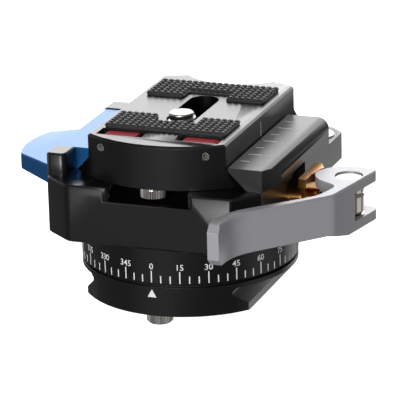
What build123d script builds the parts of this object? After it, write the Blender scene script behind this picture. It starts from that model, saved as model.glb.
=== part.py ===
from build123d import *
import math
import os

os.makedirs("parts", exist_ok=True)

# Panning clamp for camera plates: a dovetail foot, a rotating body with a
# degree dial, a lever-drawn jaw, a spring release jaw and a sliding plate.
# Units are millimetres. X points right, Y away from the dial's zero mark,
# Z up. The origin is the mouth of the tripod thread, under the pan axis.

# Running clearances
fit_clear = 0.05
slide_clear = 0.1
open_clear = 0.5

# Pan base
base_radius = 24.5
base_height = 6.9
base_rim = 1.0
foot_half_width = 19.2
foot_lip = 1.8
foot_neck_half = 16.5
foot_neck_height = 0.6
foot_edge = 0.3
base_floor = 4.4
stop_head_radius = 2.75
stop_head_height = 2.75
stop_shank_radius = 1.5
base_stop_y = 20.0
base_stop_depth = 4.2

# Pan spindle
spigot_radius = 8.5
flange_radius = 15.0
drum_radius = 12.0
thread_bore_radius = 3.97
thread_depth = 13.0
spindle_screw_pitch_radius = 12.2
spindle_screw_radius = 1.5
spindle_screw_head = 2.8
spindle_screw_length = 6.4
spindle_screw_count = 3
neck_radius = 4.5
neck_screw_radius = 2.0
neck_screw_depth = 7.0

# Dial ring and its bearings
washer_thickness = 0.5
washer_setback = 0.9
ring_height = 8.6
bush_wall = 1.4
ring_screw_pitch_radius = 18.6
ring_screw_radius = 1.25
ring_screw_head = 2.4
ring_screw_length = 11.5
ring_screw_count = 4

# Clamp body
body_height = 13.2
body_left = 26.0
body_right = 24.4
body_half_depth = 25.9
corner_cut_x = 4.9
corner_cut_y = 5.4
corner_cut_extra = 2.0
body_corner_round = 1.2
body_left_round = 3.0
body_edge = 0.4
web_thickness = 2.5
web_gap = 0.5
cap_radius = 6.8
cap_thickness = 2.5
cap_screw_head = 3.9
cap_washer = 0.5
channel_half_width = 9.1
channel_depth = 3.2
channel_mouth_round = 1.6
island_half = 8.6

# Release jaw, its posts and pivot
post_width = 4.8
post_length = 6.05
post_rise = 5.2
post_outer_round = 1.4
post_round = 0.6
pocket_half = 14.45
jaw_side_gap = 0.15
pivot_setback = 3.6
pivot_drop = 3.6
pivot_radius = 1.5
pivot_blind = 4.0
heel_radius = 3.0
heel_clear = 0.5
spring_wire = 0.5
spring_turns = 5
spring_room_half = 2.6
tab_reach = 39.0
tab_end_bulge = 1.9
tab_corner_half = 8.6
tab_corner_round = 2.5
tab_root_half = 15.6
tab_root_gap = 0.6
tab_slope_start = 28.0
tab_slope_rise = 1.0
tab_thickness = 4.3
tab_drop = 4.6
tab_edge = 0.35

# Dovetail plate
plate_clear = 0.1
plate_height = 10.0
plate_lip_half = 19.0
plate_lip_height = 1.6
plate_top_half = 16.1
plate_nose_radius = 28.0
plate_nose_centre = 3.8
plate_side_back = 24.6
plate_corner_x = 15.2
plate_corner_y = 27.9
plate_horn_x = 10.3
plate_horn_y = 29.8
plate_tail_y = 25.2
plate_edge = 0.45
plate_stop_y = 21.6
plate_stop_head_height = 2.45
plate_stop_shank = 5.0
screw_slot_front = 3.2
screw_travel = 14.4
screw_radius = 3.175
screw_slot_clear = 0.25
screw_head_radius = 6.8
screw_head_height = 1.8
screw_neck_radius = 2.4
screw_rise = 3.9
screw_washer_thickness = 0.4
screw_washer_radius = 5.6
screw_stand = 1.5
head_room_depth = 7.0
head_room_clear = 0.5
retainer_thickness = 0.6
coin_slot_width = 1.4
coin_slot_depth = 0.9

# Rubber pads
pad_height = 1.0
pad_half = 14.2
pad_front = -14.0
front_pad_depth = 10.3
pad_rear_setback = 7.2
rear_pad_depth = 11.0
notch_half = 5.0
notch_depth = 4.0
pad_corner = 0.9

# Fold-up stops in the plate
flap_pin_x = 12.2
flap_pin_drop = 2.3
flap_pin_radius = 0.9
flap_radius = 1.85
flap_reach = 6.7
flap_front = 18.7
flap_width = 4.1
flap_pocket_gap = 0.2
flap_finger_room = 1.9
flap_pin_end = 12.6
flap_pin_recess = 0.2
flap_pin_socket = 0.45

# Sliding jaw
jaw_rise = 5.0
jaw_lip_gap = 0.5
jaw_face_clear = 0.1
jaw_centre_y = 1.0
jaw_end_setback = 5.4
jaw_outer = 26.3
jaw_shoulder_width = 2.7
jaw_shoulder_drop = 3.1
jaw_seat = 21.1
jaw_skirt = 7.5
jaw_lug_half = 4.6
jaw_lug_bottom = 11.7
jaw_facet_length = 7.6
level_length = 13.0
level_width = 11.3
level_drop = 1.4
level_corner = 3.3
vial_radius = 5.4
vial_wall = 0.4
vial_depth = 4.6
vial_setback = 6.6
vial_inset = 5.9
vial_stand = 0.25
bubble_radius = 1.5
guide_y = 12.0
guide_drop = 3.8
guide_radius = 1.5
guide_length = 11.0
guide_engage = 2.3
jaw_spring_wire = 0.5
jaw_spring_radius = 2.2
jaw_spring_length = 4.0

# Draw rod and cam
rod_radius = 1.75
rod_drop = 7.0
rod_thread = 7.0
pin_x = 37.9
eye_radius = 3.4
eye_height = 5.1
eye_edge = 1.0
lower_washer = 0.25
cam_radius = 7.7
cam_travel = 1.5
cam_swing = 75.0
cam_rest = 35.0
lever_top_drop = 0.9
lever_height = 11.1
ear_thickness = 2.25
lever_blade_rise = 2.0
lever_length = 40.8
lever_top_edge = 0.45
lever_tip_edge = 1.5
lever_pin_radius = 2.2
lever_pin_head = 3.0
lever_pin_head_height = 1.0
lever_pin_sink = 0.35
fork_floor = 5.2
head_round = 1.9
kink_round = 5.0
collar_radius = 4.0
collar_sink = 0.65
collar_length = 4.15
collar_gap = 0.2
hub_radius = 2.35
hub_length = 7.55
saddle_clear = 0.1
saddle_front = 5.3
saddle_back = 6.6
saddle_front_width = 1.85
saddle_wing = 2.2

# Pan lock at the back
lock_height = 19.4
lock_screw_radius = 2.5
lock_knob_radius = 6.5
lock_knob_length = 8.0
lock_knob_gap = 0.8
lock_knob_grooves = 14
lock_knob_groove_radius = 0.7
lock_collar_radius = 4.0
lock_knob_depth = 5.0
lock_tip_radius = 3.0
lock_tip_gap = 0.3
lock_tip_length = 3.6

# Heights of the stack
ring_bottom = base_height + washer_thickness
ring_top = ring_bottom + ring_height
body_bottom = ring_top
body_top = body_bottom + body_height
plate_bottom = body_top + plate_clear
plate_top = plate_bottom + plate_height
jaw_top = body_top + jaw_rise
jaw_bottom = body_top - jaw_skirt
jaw_lug_floor = body_top - jaw_lug_bottom
post_top = body_top + post_rise
channel_floor = body_top - channel_depth
cap_seat = channel_floor - cap_washer
web_bottom = cap_seat - web_thickness
drum_top = web_bottom - web_gap
pivot_z = body_top - pivot_drop
rod_z = body_top - rod_drop
guide_z = body_top - guide_drop
lever_top = body_top - lever_top_drop
lever_bottom = lever_top - lever_height
fork_top = lever_top - ear_thickness
fork_bottom = lever_bottom + ear_thickness
tab_top = jaw_top - tab_drop
tab_bottom = tab_top - tab_thickness
pocket_floor = pivot_z - heel_radius - heel_clear
drum_bore = drum_radius + 0.3
pivot_x = body_left - pivot_setback
pad_rear = plate_horn_y - pad_rear_setback
jaw_length = 2 * (body_half_depth - jaw_end_setback)
collar_seat = body_right - collar_sink
slope_sum = plate_lip_half + plate_bottom + plate_lip_height
jaw_slope_sum = slope_sum + jaw_face_clear * math.sqrt(2)
jaw_lip_x = plate_top_half + jaw_lip_gap
flap_pin_z = plate_top - flap_pin_drop
flap_top = flap_pin_z + flap_radius

# The foot is a disc whose two sides are milled to a dovetail along Y.
with BuildPart() as pan_base:
    with BuildSketch(Plane.XY):
        Circle(base_radius)
    extrude(amount=base_height)
    chamfer(pan_base.edges().group_by(Axis.Z)[0], foot_edge)
    rim_floor = base_height - base_rim
    neck_top = rim_floor - (foot_neck_height + 0.2)
    neck_bottom = foot_lip + foot_half_width - foot_neck_half
    with BuildSketch(Plane.XZ):
        with BuildLine():
            Polyline(
                (base_radius + 1, rim_floor),
                (foot_neck_half + rim_floor - neck_top, rim_floor),
                (foot_neck_half, neck_top),
                (foot_neck_half, neck_bottom),
                (foot_half_width, foot_lip),
                (foot_half_width, -1),
                (base_radius + 1, -1),
                close=True,
            )
        make_face()
        mirror(about=Plane.YZ)
    extrude(amount=base_radius + 1, both=True, mode=Mode.SUBTRACT)
    with BuildSketch(Plane.XY):
        Circle(spigot_radius + fit_clear)
    extrude(amount=base_height, mode=Mode.SUBTRACT)
    with BuildSketch(Plane.XY.offset(base_floor)):
        Circle(flange_radius + fit_clear)
    extrude(amount=base_height, mode=Mode.SUBTRACT)
    with Locations(Plane.XY.rotated((0, 180, 0))):
        with PolarLocations(spindle_screw_pitch_radius, spindle_screw_count, start_angle=30):
            CounterSinkHole(
                spindle_screw_radius + fit_clear,
                spindle_screw_head + fit_clear,
                depth=base_floor,
                counter_sink_angle=90,
            )
    with BuildSketch(Plane.XY):
        with Locations((0, -base_stop_y), (0, base_stop_y)):
            Circle(stop_shank_radius + fit_clear)
    extrude(amount=base_stop_depth + fit_clear, mode=Mode.SUBTRACT)
pan_base.part.label = "pan_base"
export_step(pan_base.part, "parts/pan_base.step")

# Two socket-head screws under the foot stop it sliding out of a clamp.
with BuildPart() as base_stop_screws:
    with BuildSketch(Plane.XY.offset(-stop_head_height)):
        with Locations((0, -base_stop_y), (0, base_stop_y)):
            Circle(stop_head_radius)
    extrude(amount=stop_head_height)
    chamfer(base_stop_screws.edges().group_by(Axis.Z)[0], 0.3)
    with BuildSketch(Plane.XY.offset(-stop_head_height)):
        with Locations((0, -base_stop_y), (0, base_stop_y)):
            RegularPolygon(1.25, 6, major_radius=False)
    extrude(amount=1.3, mode=Mode.SUBTRACT)
    with BuildSketch(Plane.XY):
        with Locations((0, -base_stop_y), (0, base_stop_y)):
            Circle(stop_shank_radius)
    extrude(amount=base_stop_depth)
base_stop_screws.part.label = "base_stop_screws"
export_step(base_stop_screws.part, "parts/base_stop_screws.step")

# The steel spindle carries the tripod thread and the pan bearing.
with BuildPart() as pan_spindle:
    with BuildSketch(Plane.XZ):
        with BuildLine():
            Polyline(
                (thread_bore_radius, 0),
                (spigot_radius, 0),
                (spigot_radius, base_floor),
                (flange_radius, base_floor),
                (flange_radius, base_height),
                (drum_radius, base_height),
                (drum_radius, drum_top),
                (neck_radius, drum_top),
                (neck_radius, channel_floor),
                (neck_screw_radius + fit_clear, channel_floor),
                (neck_screw_radius + fit_clear, channel_floor - neck_screw_depth),
                (0, channel_floor - neck_screw_depth),
                (0, thread_depth),
                (thread_bore_radius, thread_depth),
                close=True,
            )
        make_face()
    revolve(axis=Axis.Z)
    with BuildSketch(Plane.XY.offset(base_floor)):
        with PolarLocations(spindle_screw_pitch_radius, spindle_screw_count, start_angle=30):
            Circle(spindle_screw_radius + fit_clear)
    extrude(amount=spindle_screw_length - base_floor + fit_clear, mode=Mode.SUBTRACT)
pan_spindle.part.label = "pan_spindle"
export_step(pan_spindle.part, "parts/pan_spindle.step")

# Countersunk screws hold the spindle to the foot from below.
with BuildPart() as spindle_screws:
    head_depth = spindle_screw_head - spindle_screw_radius
    with BuildSketch(Plane.XZ):
        with BuildLine():
            Polyline(
                (0, 0),
                (spindle_screw_head, 0),
                (spindle_screw_radius, head_depth),
                (spindle_screw_radius, spindle_screw_length),
                (0, spindle_screw_length),
                close=True,
            )
        make_face()
    revolve(axis=Axis.Z)
    with BuildSketch(Plane.XY):
        RegularPolygon(1.0, 6, major_radius=False)
    extrude(amount=1.0, mode=Mode.SUBTRACT)
spindle_screw = spindle_screws.part
with BuildPart() as spindle_screw_set:
    with PolarLocations(spindle_screw_pitch_radius, spindle_screw_count, start_angle=30):
        add(spindle_screw)
spindle_screw_set.part.label = "spindle_screws"
export_step(spindle_screw_set.part, "parts/spindle_screws.step")

# The plain washer that the dial turns on shows as the dark line above the foot.
with BuildPart() as thrust_washer:
    with BuildSketch(Plane.XY.offset(base_height)):
        Circle(base_radius - washer_setback)
        Circle(drum_radius + fit_clear, mode=Mode.SUBTRACT)
    extrude(amount=washer_thickness)
thrust_washer.part.label = "thrust_washer"
export_step(thrust_washer.part, "parts/thrust_washer.step")

# The degree dial is a plain turned ring under the body.
bush_outer = drum_radius + fit_clear + bush_wall
with BuildPart() as dial_ring:
    with BuildSketch(Plane.XY.offset(ring_bottom)):
        Circle(base_radius)
        Circle(bush_outer + fit_clear, mode=Mode.SUBTRACT)
    extrude(amount=ring_height)
    chamfer(dial_ring.edges().filter_by(GeomType.CIRCLE).group_by(SortBy.RADIUS)[-1], 0.25)
    with Locations(Plane.XY.offset(ring_bottom).rotated((180, 0, 0))):
        with PolarLocations(ring_screw_pitch_radius, ring_screw_count, start_angle=45):
            CounterSinkHole(
                ring_screw_radius + fit_clear,
                ring_screw_head + fit_clear,
                depth=ring_height,
                counter_sink_angle=90,
            )
dial_ring.part.label = "dial_ring"
export_step(dial_ring.part, "parts/dial_ring.step")

with BuildPart() as ring_screw_one:
    with BuildSketch(Plane.XZ):
        with BuildLine():
            Polyline(
                (0, ring_bottom),
                (ring_screw_head, ring_bottom),
                (ring_screw_radius, ring_bottom + ring_screw_head - ring_screw_radius),
                (ring_screw_radius, ring_bottom + ring_screw_length),
                (0, ring_bottom + ring_screw_length),
                close=True,
            )
        make_face()
    revolve(axis=Axis.Z)
with BuildPart() as dial_ring_screws:
    with PolarLocations(ring_screw_pitch_radius, ring_screw_count, start_angle=45):
        add(ring_screw_one.part)
dial_ring_screws.part.label = "dial_ring_screws"
export_step(dial_ring_screws.part, "parts/dial_ring_screws.step")

# A bronze bush lines the dial's bore.
with BuildPart() as pan_bush:
    with BuildSketch(Plane.XY.offset(ring_bottom)):
        Circle(bush_outer)
        Circle(drum_radius + fit_clear, mode=Mode.SUBTRACT)
    extrude(amount=ring_height)
pan_bush.part.label = "pan_bush"
export_step(pan_bush.part, "parts/pan_bush.step")

# The body is one milled block. Its left end has two posts for the release
# jaw, its right end a stepped seat for the sliding jaw.
with BuildPart() as clamp_body:
    with BuildSketch(Plane.XY.offset(body_bottom)):
        with BuildLine():
            Polyline(
                (-body_left, -body_half_depth + corner_cut_y),
                (-body_left + corner_cut_x + corner_cut_extra, -body_half_depth),
                (body_right - corner_cut_x, -body_half_depth),
                (body_right, -body_half_depth + corner_cut_y),
                (body_right, body_half_depth - corner_cut_y),
                (body_right - corner_cut_x, body_half_depth),
                (-body_left + corner_cut_x + corner_cut_extra, body_half_depth),
                (-body_left, body_half_depth - corner_cut_y),
                close=True,
            )
        make_face()
        fillet(vertices().filter_by(lambda v: v.X > 0), body_corner_round)
        fillet(vertices().filter_by(lambda v: v.X < -2 * body_corner_round), body_left_round)
    extrude(amount=body_height)
    chamfer(clamp_body.edges().group_by(Axis.Z)[0], body_edge)
    chamfer(clamp_body.edges().group_by(Axis.Z)[-1], body_edge)

    # Posts at both ends of the release jaw
    with BuildSketch(Plane.XY.offset(body_top - 2)):
        with Locations(
            (-body_left + post_width / 2, -pocket_half - post_length / 2),
            (-body_left + post_width / 2, pocket_half + post_length / 2),
        ):
            Rectangle(post_width, post_length)
        fillet(vertices().filter_by(lambda v: abs(v.Y) > pocket_half + 1), post_outer_round)
        fillet(vertices().filter_by(lambda v: abs(v.Y) < pocket_half + 0.01), post_round)
    extrude(amount=post_rise + 2)
    chamfer(clamp_body.edges().group_by(Axis.Z)[-1], body_edge)

    # Pocket for the release jaw, open to the left
    with BuildSketch(Plane.XY.offset(pocket_floor)):
        with Locations((-pivot_x + heel_radius + heel_clear, 0)):
            Rectangle(body_left, 2 * pocket_half, align=(Align.MAX, Align.CENTER))
    extrude(amount=post_top, mode=Mode.SUBTRACT)

    # Stepped seat for the sliding jaw and its level block
    with BuildSketch(Plane.XY.offset(jaw_bottom - slide_clear)):
        with Locations((jaw_seat, jaw_centre_y)):
            Rectangle(body_right, jaw_length + 2 * slide_clear, align=(Align.MIN, Align.CENTER))
        with Locations((jaw_outer - level_width - slide_clear, jaw_centre_y + jaw_length / 2 - 0.1)):
            Rectangle(body_right, level_length + 2, align=(Align.MIN, Align.MIN))
    extrude(amount=body_height, mode=Mode.SUBTRACT)
    with BuildSketch(Plane.XY.offset(jaw_lug_floor - slide_clear)):
        with Locations((jaw_seat, 0)):
            Rectangle(body_right, 2 * (jaw_lug_half + slide_clear), align=(Align.MIN, Align.CENTER))
    extrude(amount=body_height, mode=Mode.SUBTRACT)

    # Channels that the plate's stop screws travel in
    with BuildSketch(Plane.XY.offset(channel_floor)):
        with Locations((0, -body_half_depth), (0, body_half_depth)):
            Rectangle(2 * channel_half_width, 2 * (body_half_depth - island_half))
    extrude(amount=channel_depth, mode=Mode.SUBTRACT)
    mouth_edges = clamp_body.edges().filter_by(Axis.Z).filter_by(
        lambda e: abs(abs(e.center().X) - channel_half_width) < 0.01
        and abs(abs(e.center().Y) - body_half_depth) < 0.01
    )
    fillet(mouth_edges, channel_mouth_round)

    # Bore for the spindle drum, neck and cap
    with BuildSketch(Plane.XY.offset(body_bottom)):
        Circle(drum_bore)
    extrude(amount=web_bottom - body_bottom, mode=Mode.SUBTRACT)
    with BuildSketch(Plane.XY.offset(body_bottom)):
        Circle(neck_radius + fit_clear)
    extrude(amount=body_height, mode=Mode.SUBTRACT)
    with BuildSketch(Plane.XY.offset(cap_seat)):
        Circle(cap_radius + slide_clear)
    extrude(amount=body_height, mode=Mode.SUBTRACT)

    # Holes for the dial screws
    with BuildSketch(Plane.XY.offset(body_bottom)):
        with PolarLocations(ring_screw_pitch_radius, ring_screw_count, start_angle=45):
            Circle(ring_screw_radius + fit_clear)
    extrude(amount=ring_bottom + ring_screw_length - body_bottom + fit_clear, mode=Mode.SUBTRACT)

    # Draw rod and guide pin holes from the right
    with BuildSketch(Plane.YZ.offset(jaw_seat - rod_thread)):
        with Locations((0, rod_z)):
            Circle(rod_radius + fit_clear)
    extrude(amount=body_right, mode=Mode.SUBTRACT)
    with BuildSketch(Plane.YZ.offset(jaw_seat + guide_engage - guide_length)):
        with Locations((-guide_y, guide_z), (guide_y, guide_z)):
            Circle(guide_radius + fit_clear)
    extrude(amount=body_right, mode=Mode.SUBTRACT)
    with BuildSketch(Plane.YZ.offset(jaw_seat - jaw_spring_length)):
        with Locations((-guide_y, guide_z), (guide_y, guide_z)):
            Circle(jaw_spring_radius + jaw_spring_wire / 2 + slide_clear)
    extrude(amount=body_right, mode=Mode.SUBTRACT)

    # Pivot hole: blind in front, through at the back
    with BuildSketch(Plane.XZ.offset(pocket_half + pivot_blind + slide_clear)):
        with Locations((-pivot_x, pivot_z)):
            Circle(pivot_radius + fit_clear)
    extrude(amount=-2 * body_half_depth, mode=Mode.SUBTRACT)

    # Pan lock: screw hole and room for the tip
    with BuildSketch(Plane.XZ):
        with Locations((0, lock_height)):
            Circle(lock_screw_radius + fit_clear)
    extrude(amount=-body_half_depth - 1, mode=Mode.SUBTRACT)
    with BuildSketch(Plane.XZ):
        with Locations((0, lock_height)):
            Circle(lock_tip_radius + fit_clear)
    extrude(amount=-(drum_radius + lock_tip_gap + lock_tip_length + 0.6), mode=Mode.SUBTRACT)
clamp_body.part.label = "clamp_body"
export_step(clamp_body.part, "parts/clamp_body.step")

# A low-friction washer and a cap on the spindle's neck hold the body down.
with BuildPart() as cap_bearing:
    with BuildSketch(Plane.XY.offset(cap_seat)):
        Circle(cap_radius)
        Circle(neck_radius + fit_clear, mode=Mode.SUBTRACT)
    extrude(amount=cap_washer)
cap_bearing.part.label = "cap_bearing"
export_step(cap_bearing.part, "parts/cap_bearing.step")

cap_top = channel_floor + cap_thickness
with BuildPart() as pan_cap:
    with BuildSketch(Plane.XY.offset(channel_floor)):
        Circle(cap_radius)
    extrude(amount=cap_thickness)
    chamfer(pan_cap.edges().group_by(Axis.Z)[-1], 0.3)
    with Locations(Plane.XY.offset(cap_top)):
        CounterSinkHole(neck_screw_radius + fit_clear, cap_screw_head + fit_clear, counter_sink_angle=90)
pan_cap.part.label = "pan_cap"
export_step(pan_cap.part, "parts/pan_cap.step")

with BuildPart() as cap_screw:
    with BuildSketch(Plane.XZ):
        with BuildLine():
            Polyline(
                (0, cap_top),
                (cap_screw_head, cap_top),
                (neck_screw_radius, cap_top - cap_screw_head + neck_screw_radius),
                (neck_screw_radius, channel_floor - neck_screw_depth + 0.2),
                (0, channel_floor - neck_screw_depth + 0.2),
                close=True,
            )
        make_face()
    revolve(axis=Axis.Z)
    with BuildSketch(Plane.XY.offset(cap_top)):
        RegularPolygon(1.25, 6, major_radius=False)
    extrude(amount=-1.5, mode=Mode.SUBTRACT)
cap_screw.part.label = "cap_screw"
export_step(cap_screw.part, "parts/cap_screw.step")

# The release jaw: a bar with an undercut lip, a round heel on the pivot pin
# and a broad thumb tab that narrows to a curved end.
jaw_half = pocket_half - jaw_side_gap
spring_gap = pivot_radius + 2 * spring_wire + 0.3
with BuildPart() as release_jaw:
    with BuildSketch(Plane.XZ):
        with BuildLine():
            Polyline(
                (-jaw_lip_x, jaw_top),
                (-jaw_lip_x, jaw_slope_sum - jaw_lip_x),
                (-jaw_slope_sum + plate_bottom, plate_bottom),
                (-jaw_slope_sum + plate_bottom, tab_bottom - tab_edge),
                (-pivot_x - heel_radius, tab_bottom - tab_edge),
                (-pivot_x - heel_radius, jaw_top),
                close=True,
            )
        make_face()
        with Locations((-pivot_x, pivot_z)):
            Circle(heel_radius)
    extrude(amount=jaw_half, both=True)
    tab_root = body_left + tab_root_gap
    tab_corner = tab_reach - tab_end_bulge
    with BuildSketch(Plane.XY.offset(tab_bottom)):
        with BuildLine():
            Polyline(
                (-tab_corner, tab_corner_half),
                (-tab_root, tab_root_half),
                (-tab_root, jaw_half),
                (-pivot_x - heel_radius / 2, jaw_half),
                (-pivot_x - heel_radius / 2, -jaw_half),
                (-tab_root, -jaw_half),
                (-tab_root, -tab_root_half),
                (-tab_corner, -tab_corner_half),
            )
            ThreePointArc(
                (-tab_corner, -tab_corner_half),
                (-tab_reach, 0),
                (-tab_corner, tab_corner_half),
            )
        make_face()
        fillet(vertices().group_by(Axis.X)[0], tab_corner_round)
    extrude(amount=tab_thickness)
    with BuildSketch(Plane.XZ):
        with BuildLine():
            Polyline(
                (-tab_slope_start, tab_bottom),
                (-tab_reach - 1, tab_bottom + tab_slope_rise),
                (-tab_reach - 1, tab_bottom - 1),
                (-tab_slope_start, tab_bottom - 1),
                close=True,
            )
        make_face()
    extrude(amount=tab_reach, both=True, mode=Mode.SUBTRACT)
    tab_rims = release_jaw.edges().filter_by(
        lambda e: e.center().X < -tab_root - 1 and abs(e.center().Z - tab_top) < 0.01
    )
    fillet(tab_rims, tab_edge)
    with BuildSketch(Plane.XZ.offset(jaw_half + 1)):
        with Locations((-pivot_x, pivot_z)):
            Circle(pivot_radius + fit_clear)
    extrude(amount=-2 * jaw_half - 2, mode=Mode.SUBTRACT)
    # A gap in the heel, open below, takes the spring
    with BuildSketch(Plane.XZ):
        with Locations((-pivot_x, pivot_z)):
            Circle(spring_gap)
        with Locations((-pivot_x, pivot_z)):
            Rectangle(2 * spring_gap, 2 * heel_radius, align=(Align.CENTER, Align.MAX))
    extrude(amount=spring_room_half, both=True, mode=Mode.SUBTRACT)
release_jaw.part.label = "release_jaw"
export_step(release_jaw.part, "parts/release_jaw.step")

pin_front = -pocket_half - pivot_blind
pin_back = pocket_half + post_length
with BuildPart() as release_pin:
    with BuildSketch(Plane.XZ.offset(-pin_front)):
        with Locations((-pivot_x, pivot_z)):
            Circle(pivot_radius)
    extrude(amount=pin_front - pin_back)
release_pin.part.label = "release_pin"
export_step(release_pin.part, "parts/release_pin.step")

# Torsion spring wound on the release pin
spring_radius = pivot_radius + spring_wire / 2 + 0.1
spring_pitch = (2 * spring_room_half - 2 * spring_wire) / spring_turns
with BuildPart() as release_spring:
    with BuildLine() as coil:
        Helix(
            spring_pitch,
            spring_pitch * spring_turns,
            spring_radius,
            center=(-pivot_x, -spring_pitch * spring_turns / 2, pivot_z),
            direction=(0, 1, 0),
        )
    with BuildSketch(Plane(origin=coil.line @ 0, z_dir=coil.line % 0)):
        Circle(spring_wire / 2)
    sweep()
release_spring.part.label = "release_spring"
export_step(release_spring.part, "parts/release_spring.step")

# The sliding jaw with its level block, milled from one bar.
jaw_front = jaw_centre_y - jaw_length / 2
jaw_back = jaw_centre_y + jaw_length / 2
level_top = body_top - level_drop
level_back = jaw_back + level_length
vial_x = jaw_outer - vial_inset
vial_y = level_back - vial_setback
with BuildPart() as slide_jaw:
    with BuildSketch(Plane.XZ.offset(-jaw_front)):
        with BuildLine():
            Polyline(
                (jaw_outer, jaw_top - jaw_shoulder_drop),
                (jaw_outer, jaw_bottom),
                (jaw_seat + slide_clear, jaw_bottom),
                (jaw_seat + slide_clear, body_top + slide_clear),
                (jaw_slope_sum - body_top - slide_clear, body_top + slide_clear),
                (jaw_lip_x, jaw_slope_sum - jaw_lip_x),
                (jaw_lip_x, jaw_top),
                (jaw_outer - jaw_shoulder_width, jaw_top),
            )
            ThreePointArc(
                (jaw_outer - jaw_shoulder_width, jaw_top),
                (jaw_outer - 0.24 * jaw_shoulder_width, jaw_top - 0.27 * jaw_shoulder_drop),
                (jaw_outer, jaw_top - jaw_shoulder_drop),
            )
        make_face()
    extrude(amount=-jaw_length)
    # A long facet at the front corner, and a front skirt flush with the body
    with BuildSketch(Plane.XY.offset(jaw_bottom - 1)):
        with BuildLine():
            Polyline(
                (body_right, jaw_front),
                (jaw_outer, jaw_front + jaw_facet_length),
                (jaw_outer + 1, jaw_front + jaw_facet_length),
                (jaw_outer + 1, jaw_front - 1),
                (body_right, jaw_front - 1),
                close=True,
            )
        make_face()
    extrude(amount=jaw_top, mode=Mode.SUBTRACT)
    skirt_split = collar_radius + collar_gap
    with BuildSketch(Plane.XY.offset(jaw_bottom - 1)):
        with Locations((body_right, jaw_front - 1)):
            Rectangle(jaw_outer, skirt_split - jaw_front + 1, align=(Align.MIN, Align.MIN))
    extrude(amount=body_top - jaw_bottom + 1, mode=Mode.SUBTRACT)
    with BuildSketch(Plane.XY.offset(jaw_lug_floor)):
        with Locations((jaw_seat + slide_clear, 0)):
            Rectangle(
                body_right - jaw_seat - slide_clear,
                2 * jaw_lug_half,
                align=(Align.MIN, Align.CENTER),
            )
    extrude(amount=jaw_bottom - jaw_lug_floor + 1)
    with BuildSketch(Plane.XY.offset(jaw_bottom)):
        with BuildLine():
            Polyline(
                (jaw_outer - level_width, jaw_back),
                (jaw_outer - level_width, level_back - level_corner),
                (jaw_outer - level_width + level_corner, level_back),
                (jaw_outer - level_corner, level_back),
                (jaw_outer, level_back - level_corner),
                (jaw_outer, jaw_back - 1),
                (jaw_seat + slide_clear, jaw_back - 1),
                (jaw_seat + slide_clear, jaw_back),
                close=True,
            )
        make_face()
        fillet(vertices().group_by(Axis.Y)[-1] + vertices().group_by(Axis.Y)[-2], 1.0)
    extrude(amount=level_top - jaw_bottom)
    with BuildSketch(Plane.XY.offset(level_top)):
        with Locations((vial_x, vial_y)):
            Circle(vial_radius + fit_clear)
    extrude(amount=-vial_depth, mode=Mode.SUBTRACT)
    with BuildSketch(Plane.YZ.offset(jaw_seat)):
        with Locations((0, rod_z)):
            Circle(rod_radius + slide_clear)
    extrude(amount=jaw_outer, mode=Mode.SUBTRACT)
    with BuildSketch(Plane.YZ.offset(collar_seat)):
        with Locations((0, rod_z)):
            Circle(collar_radius + fit_clear)
    extrude(amount=jaw_outer, mode=Mode.SUBTRACT)
    with BuildSketch(Plane.YZ.offset(jaw_seat)):
        with Locations((-guide_y, guide_z), (guide_y, guide_z)):
            Circle(guide_radius + fit_clear)
    extrude(amount=guide_engage + 0.3, mode=Mode.SUBTRACT)
slide_jaw.part.label = "slide_jaw"
export_step(slide_jaw.part, "parts/slide_jaw.step")

# Bull's-eye level: a metal cup, a clear lens and the bubble under it
with BuildPart() as level_cup:
    with BuildSketch(Plane.XY.offset(level_top - vial_depth)):
        with Locations((vial_x, vial_y)):
            Circle(vial_radius)
    extrude(amount=vial_depth)
    with BuildSketch(Plane.XY.offset(level_top)):
        with Locations((vial_x, vial_y)):
            Circle(vial_radius - vial_wall)
    extrude(amount=-vial_depth + vial_wall, mode=Mode.SUBTRACT)
level_cup.part.label = "level_cup"
export_step(level_cup.part, "parts/level_cup.step")

lens_radius = vial_radius - vial_wall - fit_clear
with BuildPart() as level_vial:
    with BuildSketch(Plane.XY.offset(level_top - vial_depth + vial_wall)):
        with Locations((vial_x, vial_y)):
            Circle(lens_radius)
    extrude(amount=vial_depth - vial_wall + vial_stand)
    fillet(level_vial.edges().group_by(Axis.Z)[-1], 0.3)
level_vial.part.label = "level_vial"
export_step(level_vial.part, "parts/level_vial.step")

# Steel pins keep the sliding jaw square, and springs push it open.
guide_end = jaw_seat + guide_engage
with BuildPart() as guide_pins:
    with BuildSketch(Plane.YZ.offset(guide_end - guide_length)):
        with Locations((-guide_y, guide_z), (guide_y, guide_z)):
            Circle(guide_radius)
    extrude(amount=guide_length)
    chamfer(guide_pins.edges().group_by(Axis.X)[-1], 0.3)
guide_pins.part.label = "guide_pins"
export_step(guide_pins.part, "parts/guide_pins.step")

jaw_coil_turns = 3
jaw_coil_pitch = (jaw_spring_length - jaw_spring_wire - 0.2) / jaw_coil_turns
with BuildPart() as jaw_spring_one:
    with BuildLine() as jaw_coil:
        Helix(
            jaw_coil_pitch,
            jaw_coil_pitch * jaw_coil_turns,
            jaw_spring_radius,
            center=(jaw_seat - jaw_spring_length + jaw_spring_wire / 2 + 0.1, 0, guide_z),
            direction=(1, 0, 0),
        )
    with BuildSketch(Plane(origin=jaw_coil.line @ 0, z_dir=jaw_coil.line % 0)):
        Circle(jaw_spring_wire / 2)
    sweep()
with BuildPart() as jaw_springs:
    with Locations((0, -guide_y, 0), (0, guide_y, 0)):
        add(jaw_spring_one.part)
jaw_springs.part.label = "jaw_springs"
export_step(jaw_springs.part, "parts/jaw_springs.step")

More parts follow.
